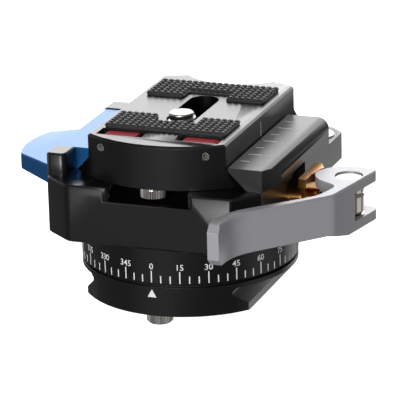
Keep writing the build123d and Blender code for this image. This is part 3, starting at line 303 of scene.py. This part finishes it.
# Thrust washer
# A thin ring of dark low-friction plastic that the dial turns on. It shows as a line.
slip_plastic = anodised("dark_slip_plastic", "#141414", 0.5, 0.0, 0.05)
dressed("thrust_washer", slip_plastic, "base")

# Dial ring
# A turned aluminium ring, anodised black. Four countersunk screws hold it to the body, and a
# bronze bush in its bore runs on the spindle.
dressed("dial_ring", black_film, "clamp")
dressed("dial_ring_screws", oxide_steel, "clamp")
bush_bronze = bare_metal("sintered_bronze", "#9a6f3f", 0.4, 0.3)
dressed("pan_bush", bush_bronze, "clamp")

# Degree marks and numerals
# Lines every five degrees, longer every fifteen, and plain numerals above the long ones, all
# laser-marked through the black film and so nearly white.
tick_foot = 7.9
tick_width = 0.27
marks = bmesh.new()
for degrees in range(0, 360, 5):
    tick_length = 2.74 if degrees % 15 == 0 else 1.69
    turn = Matrix.Rotation(math.radians(degrees), 4, "Z")
    seat = Matrix.Translation((0, -rim_radius, (tick_foot + tick_length / 2) * mm))
    size = Matrix.Diagonal((tick_width * mm, 2 * print_stand, tick_length * mm, 1))
    bmesh.ops.create_cube(marks, size=1.0, matrix=turn @ seat @ size)
placed("dial_marks", marks, white_paint, "clamp")


def numeral_shape(words, height, squeeze):
    # The built-in letters as a thin mesh, centred, standing in the XY plane.
    letters = bpy.data.curves.new("numeral", "FONT")
    letters.body = words
    letters.size = height / 0.72
    letters.align_x = "CENTER"
    letters.align_y = "BOTTOM_BASELINE"
    letters.extrude = print_stand
    letters.offset = 0.01 * mm
    letters.resolution_u = 4
    holder = bpy.data.objects.new("numeral", letters)
    bpy.context.scene.collection.objects.link(holder)
    bpy.context.view_layer.update()
    ready = holder.evaluated_get(bpy.context.evaluated_depsgraph_get())
    mesh = bpy.data.meshes.new_from_object(ready)
    bpy.data.objects.remove(holder)
    shape = bmesh.new()
    shape.from_mesh(mesh)
    bmesh.ops.scale(shape, verts=shape.verts, vec=(squeeze, 1, 1))
    bpy.data.meshes.remove(mesh)
    return shape


numeral_foot = 11.0
numeral_height = 1.4
numerals = bmesh.new()
for degrees in range(0, 360, 15):
    flat = numeral_shape(str(degrees), numeral_height * mm, 1.0)
    for corner in flat.verts:
        angle = corner.co.x / rim_radius + math.radians(degrees)
        reach = rim_radius + corner.co.z
        corner.co = Vector((
            reach * math.sin(angle), -reach * math.cos(angle), numeral_foot * mm + corner.co.y,
        ))
    step_mesh = bpy.data.meshes.new("numeral_step")
    flat.to_mesh(step_mesh)
    flat.free()
    numerals.from_mesh(step_mesh)
    bpy.data.meshes.remove(step_mesh)
placed("dial_numerals", numerals, white_paint, "clamp")

# Clamp body
# One milled aluminium block, anodised black, with two posts for the release jaw and channels for
# the plate's stop screws.
dressed("clamp_body", black_film, "clamp")

# Cap on the spindle's neck
# A steel cap, its countersunk screw and a slip washer hold the body down and let it turn.
dressed("cap_bearing", slip_plastic, "base")
dressed("pan_cap", steel, "base")
dressed("cap_screw", oxide_steel, "base")

# Release jaw
# Milled aluminium with a bright blue anodised film. It swings on a steel pin, and a torsion spring
# on the pin closes it.
blue_film = anodised("blue_anodised_aluminium", "#1b5c98", 0.34, 0.7)
spring_wire = bare_metal("drawn_spring_wire", "#a9a9a6", 0.3)
dressed("release_jaw", blue_film, "release_jaw")
dressed("release_pin", steel, "clamp")
dressed("release_spring", spring_wire, "clamp")

# Sliding jaw
# A milled aluminium bar with a rounded shoulder, anodised dark grey. Steel pins guide it and two
# small springs push it open.
grey_film = anodised("dark_grey_anodised_aluminium", "#2e2e2f", 0.34, 0.35)
dressed("slide_jaw", grey_film, "slide_jaw")
dressed("guide_pins", steel, "slide_jaw")
dressed("jaw_springs", spring_wire, "clamp")

# Millimetre scale on the jaw
# Lines every five millimetres, longer and numbered every ten, marked like the dial's.
jaw_top = 34.2
scale_start = 17.6
scale_zero = 1.2
line_width = 0.26
jaw_marks = bmesh.new()
for step in range(-3, 4):
    line_length = 3.35 if step % 2 == 0 else 2.0
    seat = Matrix.Translation((
        (scale_start + line_length / 2) * mm, (scale_zero + 5 * step) * mm, jaw_top * mm,
    ))
    size = Matrix.Diagonal((line_length * mm, line_width * mm, 2 * print_stand, 1))
    bmesh.ops.create_cube(jaw_marks, size=1.0, matrix=seat @ size)
placed("jaw_scale_marks", jaw_marks, white_paint, "slide_jaw")
jaw_numerals = bmesh.new()
for step, words in ((-2, "10"), (0, "0"), (2, "10")):
    flat = numeral_shape(words, 1.15 * mm, 0.85)
    shift = (22.35 * mm, (scale_zero + 5 * step - 0.6) * mm, jaw_top * mm)
    bmesh.ops.translate(flat, verts=flat.verts, vec=shift)
    step_mesh = bpy.data.meshes.new("numeral_step")
    flat.to_mesh(step_mesh)
    flat.free()
    jaw_numerals.from_mesh(step_mesh)
    bpy.data.meshes.remove(step_mesh)
placed("jaw_scale_numerals", jaw_numerals, white_paint, "slide_jaw")

# Bubble level
# A dark turned cup with a clear green vial, a printed ring and one air bubble under the lens.
cup_film = anodised("black_turned_rim", "#0c0c0c", 0.3, 0.3)
dressed("level_cup", cup_film, "slide_jaw")
vial_green = bpy.data.materials.new("green_level_vial")
vial_green.use_nodes = True
vial_shader = vial_green.node_tree.nodes["Principled BSDF"]
vial_shader.inputs["Base Color"].default_value = linear("#7f9a72")
vial_shader.inputs["Roughness"].default_value = 0.06
vial_shader.inputs["Coat Weight"].default_value = 0.6
dressed("level_vial", vial_green, "slide_jaw")
vial_low, vial_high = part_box("level_vial")
vial_middle = (Vector(vial_low) + Vector(vial_high)) / 2
ring_radius = 2.0
ring_growth = 1.12
bubble_radius = 1.45
bubble_flatness = 0.12
black_print = anodised("black_print", "#0a0a0a", 0.5, 0.0, 0.02)
ring_print = bmesh.new()
bmesh.ops.create_circle(ring_print, cap_ends=False, segments=48, radius=ring_radius * mm)
ring_band = bmesh.ops.extrude_edge_only(ring_print, edges=ring_print.edges)
band_verts = [v for v in ring_band["geom"] if isinstance(v, bmesh.types.BMVert)]
bmesh.ops.scale(ring_print, verts=band_verts, vec=(ring_growth, ring_growth, 1))
bmesh.ops.translate(
    ring_print, verts=ring_print.verts, vec=(vial_middle.x, vial_middle.y, vial_high[2] + 0.01 * mm),
)
bmesh.ops.recalc_face_normals(ring_print, faces=ring_print.faces)
placed("level_ring_print", ring_print, black_print, "slide_jaw")
bubble = bmesh.new()
bmesh.ops.create_uvsphere(bubble, u_segments=24, v_segments=12, radius=bubble_radius * mm)
bmesh.ops.scale(bubble, verts=bubble.verts, vec=(1, 1, bubble_flatness))
bmesh.ops.translate(bubble, verts=bubble.verts, vec=(vial_middle.x, vial_middle.y, vial_high[2] - 0.02 * mm))
bubble_gas = bpy.data.materials.new("air_bubble")
bubble_gas.use_nodes = True
bubble_shader = bubble_gas.node_tree.nodes["Principled BSDF"]
bubble_shader.inputs["Base Color"].default_value = linear("#dcebc6")
bubble_shader.inputs["Roughness"].default_value = 0.05
placed("level_bubble", bubble, bubble_gas, "slide_jaw")

# Draw rod
# A polished steel eye bolt that screws into the body. The lever turns on its eye.
polished_steel = bare_metal("polished_steel", "#d6d2cc", 0.12)
dressed("draw_rod", polished_steel, "clamp")

# Cam lever
# Milled aluminium, anodised grey. Its forked head is a cam that draws the jaw in, and a steel pin
# with a broad head joins it to the rod's eye, with thin washers on both sides.
lever_film = anodised("grey_anodised_aluminium", "#a8a8ac", 0.35, 0.25)
dressed("cam_lever", lever_film, "cam_lever")
dressed("eye_washers", polished_steel, "cam_lever")
faced_steel = bare_metal("faced_steel", "#c9c3b8", 0.34, 0.3)
dressed("lever_pin", faced_steel, "cam_lever")

# Cam saddle
# A brass piece on the rod between the cam and the jaw, milled bright, which carries the cam's push.
bright_brass = bare_metal("bright_brass", "#c0894a", 0.2, 0.1)
dressed("cam_saddle", bright_brass, "slide_jaw")

# Camera plate
# The plate that stays on the camera, milled aluminium in satin black, with a slot for its screw.
dressed("camera_plate", black_film, "plate")
index_line = bmesh.new()
bmesh.ops.create_cube(
    index_line, size=1.0,
    matrix=Matrix.Translation((16.1 * mm, 4.0 * mm, 35.95 * mm))
    @ Matrix.Diagonal((2 * print_stand, 0.3 * mm, 3.3 * mm, 1)),
)
placed("plate_index_line", index_line, white_paint, "plate")

# Stop screws under the plate
# The same knurled M3 screws as under the foot. They keep the plate from sliding out sideways.
dressed("plate_stop_screws", nickel, "plate")
knurled_heads("plate_stop_knurls", (-21.6, 21.6), 27.15, 29.05, "plate")

# Rubber pads
# Moulded black rubber, glued to the plate, with rows of small blunt pyramids for grip.
rubber = anodised("moulded_black_rubber", "#1b1b1b", 0.55, 0.0, 0.2)
pad_web_top = 39.72
pyramid_pitch = 1.5
pyramid_foot = 0.74
pyramid_tip = 0.36
for pad_name in ("front_pad", "rear_pad"):
    low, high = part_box(pad_name)
    pad = joined_copy(pad_name)
    top_verts = [v for v in pad.verts if v.co.z > high[2] - 0.1 * mm]
    bmesh.ops.translate(pad, verts=top_verts, vec=(0, 0, pad_web_top * mm - high[2]))
    columns = round((high[0] - low[0]) / (pyramid_pitch * mm))
    rows = round((high[1] - low[1]) / (pyramid_pitch * mm))
    pitch_x = (high[0] - low[0]) / columns
    pitch_y = (high[1] - low[1]) / rows
    notch_at_back = pad_name == "front_pad"
    for column in range(columns):
        for row in range(rows):
            x = low[0] + (column + 0.5) * pitch_x
            y = low[1] + (row + 0.5) * pitch_y
            into = high[1] - y if notch_at_back else y - low[1]
            if abs(x) < 5.6 * mm and into < 4.6 * mm:
                continue
            seat = Matrix.Translation((x, y, (pad_web_top * mm + high[2]) / 2))
            bmesh.ops.create_cone(
                pad, cap_ends=True, segments=4, radius1=pyramid_foot * pitch_x * 0.94,
                radius2=pyramid_tip * pitch_x * 0.94, depth=high[2] - pad_web_top * mm,
                matrix=seat @ Matrix.Rotation(math.radians(45), 4, "Z"),
            )
    placed(pad_name + "_skin", pad, rubber, "plate", pad_name)

# Fold-up stops
# Two red fibre blocks that lie flush in pockets and fold up against the camera's front edge. Steel
# set screws in the plate's nose are their pins.
red_fibre = anodised("red_fibre", "#c2343f", 0.75, 0.0, 0.8)
dressed("left_stop_flap", red_fibre, "left_stop_flap")
dressed("right_stop_flap", red_fibre, "right_stop_flap")
pin_steel = bare_metal("set_screw_steel", "#7d7a76", 0.35, 0.2)
dressed("flap_pins", pin_steel, "plate")

# Camera screw
# A 1/4 inch stainless screw held in the slot by a black steel retainer, with a slip washer on its
# head. The thread is cut, and its end is faced and chamfered.
dressed("screw_retainer", oxide_steel, "screw_carriage")
dressed("screw_washer", slip_plastic, "screw_washer")
thread_radius = 3.175 * mm
thread_core = 2.68 * mm
thread_pitch = 1.27 * mm
stud = joined_copy("camera_screw")
stud_y = -3.2 * mm
thread_low = 36.3 * mm
for corner in stud.verts:
    out = Vector((corner.co.x, corner.co.y - stud_y, 0))
    if corner.co.z > thread_low - 0.01 * mm and abs(out.length - thread_radius) < 0.02 * mm:
        out *= thread_core / out.length
        corner.co = Vector((out.x, out.y + stud_y, corner.co.z))
thread_turns = 2.2
ridge = [
    stud.verts.new((r, stud_y, thread_low + 0.56 * mm + z))
    for r, z in (
        (thread_core - 0.1 * mm, -0.52 * mm), (thread_radius, -0.1 * mm),
        (thread_radius, 0.1 * mm), (thread_core - 0.1 * mm, 0.52 * mm),
    )
]
ridge_edges = [stud.edges.new((ridge[i], ridge[i + 1])) for i in range(3)]
ridge_steps = 72
bmesh.ops.spin(
    stud, geom=ridge + ridge_edges, cent=(0, stud_y, 0), axis=(0, 0, 1),
    dvec=(0, 0, thread_turns * thread_pitch / ridge_steps), angle=math.tau * thread_turns, steps=ridge_steps,
)
bmesh.ops.recalc_face_normals(stud, faces=stud.faces)
stud_steel = bare_metal("faced_stud_steel", "#9b9894", 0.34, 0.25)
placed("camera_screw_skin", stud, stud_steel, "camera_screw", "camera_screw")

# Pan lock
# A fluted aluminium knob on a steel screw presses a brass tip on the spindle's drum. It is at the
# back, where the photo can't show it.
dressed("lock_knob", black_film, "lock_knob")
dressed("lock_screw", steel, "lock_knob")
dressed("lock_tip", bright_brass, "lock_knob")
